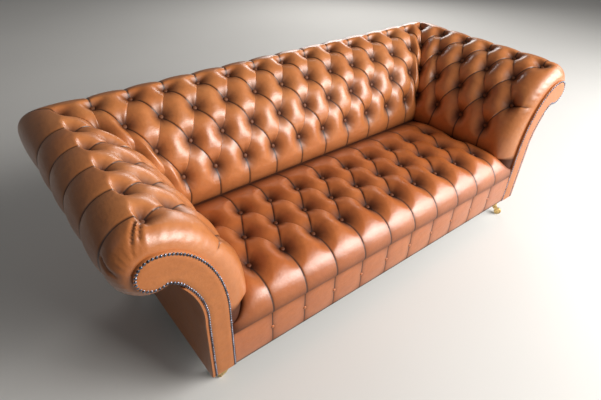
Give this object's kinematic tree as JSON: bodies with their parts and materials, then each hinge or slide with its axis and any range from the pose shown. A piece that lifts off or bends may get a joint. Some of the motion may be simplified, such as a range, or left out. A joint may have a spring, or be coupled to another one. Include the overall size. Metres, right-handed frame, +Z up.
{
  "type": "chesterfield sofa",
  "caption": "Deep-buttoned chesterfield sofa with scrolled arms, fixed tufted seat, nailed facings and swivelling brass castors.",
  "frame": {"origin": "on the floor, below the middle of the sofa's box", "axes": "+X along the seat to the sitter's left, +Y to the back, +Z up"},
  "size_m": [2.1702, 0.9523, 0.7715],
  "materials": {
    "tan_leather": "polished tan aniline leather",
    "seat_leather": "polished tan leather, slightly redder",
    "castor_brass": "polished brass",
    "antique_nails": "antique pewter",
    "dark_wood": "dark stained beech",
    "beech": "sawn beech",
    "webbing": "woven jute",
    "deck_cloth": "hessian",
    "black_cloth": "black platform cloth"
  },
  "bodies": {
    "sofa": {"arm_buttons_left": "tan_leather", "arm_buttons_right": "tan_leather", "arm_front_board_left": "beech", "arm_front_board_right": "beech", "arm_pad_left": "tan_leather", "arm_pad_right": "tan_leather", "arm_rear_board_left": "beech", "arm_rear_board_right": "beech", "arm_roll_rail_left": "beech", "arm_roll_rail_right": "beech", "arm_stuffing_rail_left": "beech", "arm_stuffing_rail_right": "beech", "back_board_left": "beech", "back_board_right": "beech", "back_buttons": "tan_leather", "back_pad": "tan_leather", "back_rail": "beech", "back_roll_rail": "beech", "back_stuffing_rail": "beech", "border_buttons": "seat_leather", "castor_plate_front_left": "castor_brass", "castor_plate_front_right": "castor_brass", "castor_plate_rear_left": "castor_brass", "castor_plate_rear_right": "castor_brass", "corner_blocks": "beech", "cross_rail_left": "beech", "cross_rail_right": "beech", "dust_cover": "black_cloth", "facing_left": "tan_leather", "facing_nails_left": "antique_nails", "facing_nails_right": "antique_nails", "facing_right": "tan_leather", "front_border": "seat_leather", "front_rail": "beech", "leg_front_left": "dark_wood", "leg_front_right": "dark_wood", "leg_rear_left": "dark_wood", "leg_rear_right": "dark_wood", "outer_arm_cover_left": "tan_leather", "outer_arm_cover_right": "tan_leather", "outer_back_cover": "tan_leather", "seat_buttons": "seat_leather", "seat_deck": "deck_cloth", "seat_pad": "seat_leather", "seat_webbing": "webbing", "side_rail_left": "beech", "side_rail_right": "beech"},
    "horn_front_left": {"castor_horn_front_left": "castor_brass", "castor_axle_front_left": "castor_brass"},
    "wheel_front_left": {"castor_wheel_front_left": "castor_brass"},
    "horn_front_right": {"castor_horn_front_right": "castor_brass", "castor_axle_front_right": "castor_brass"},
    "wheel_front_right": {"castor_wheel_front_right": "castor_brass"},
    "horn_rear_left": {"castor_horn_rear_left": "castor_brass", "castor_axle_rear_left": "castor_brass"},
    "wheel_rear_left": {"castor_wheel_rear_left": "castor_brass"},
    "horn_rear_right": {"castor_horn_rear_right": "castor_brass", "castor_axle_rear_right": "castor_brass"},
    "wheel_rear_right": {"castor_wheel_rear_right": "castor_brass"}
  },
  "joints": [
    {"name": "swivel_front_left", "type": "hinge", "parent": "sofa", "child": "horn_front_left", "pos_m": [-0.8095, -0.4313, 0.0597], "axis": [0, 0, 1], "continuous": true},
    {"name": "roll_front_left", "type": "hinge", "parent": "horn_front_left", "child": "wheel_front_left", "pos_m": [-0.81882, -0.40703, 0.0175], "axis": [-0.9336, -0.3584, 0], "continuous": true},
    {"name": "swivel_front_right", "type": "hinge", "parent": "sofa", "child": "horn_front_right", "pos_m": [0.8095, -0.4313, 0.0597], "axis": [0, 0, 1], "continuous": true},
    {"name": "roll_front_right", "type": "hinge", "parent": "horn_front_right", "child": "wheel_front_right", "pos_m": [0.82756, -0.45, 0.0175], "axis": [0.7193, 0.6947, 0], "continuous": true},
    {"name": "swivel_rear_left", "type": "hinge", "parent": "sofa", "child": "horn_rear_left", "pos_m": [-0.8095, 0.1987, 0.0597], "axis": [0, 0, 1], "continuous": true},
    {"name": "roll_rear_left", "type": "hinge", "parent": "horn_rear_left", "child": "wheel_rear_left", "pos_m": [-0.83393, 0.20759, 0.0175], "axis": [-0.342, -0.9397, 0], "continuous": true},
    {"name": "swivel_rear_right", "type": "hinge", "parent": "sofa", "child": "horn_rear_right", "pos_m": [0.8095, 0.1987, 0.0597], "axis": [0, 0, 1], "continuous": true},
    {"name": "roll_rear_right", "type": "hinge", "parent": "horn_rear_right", "child": "wheel_rear_right", "pos_m": [0.83493, 0.20411, 0.0175], "axis": [-0.2079, 0.9781, 0], "continuous": true}
  ]
}
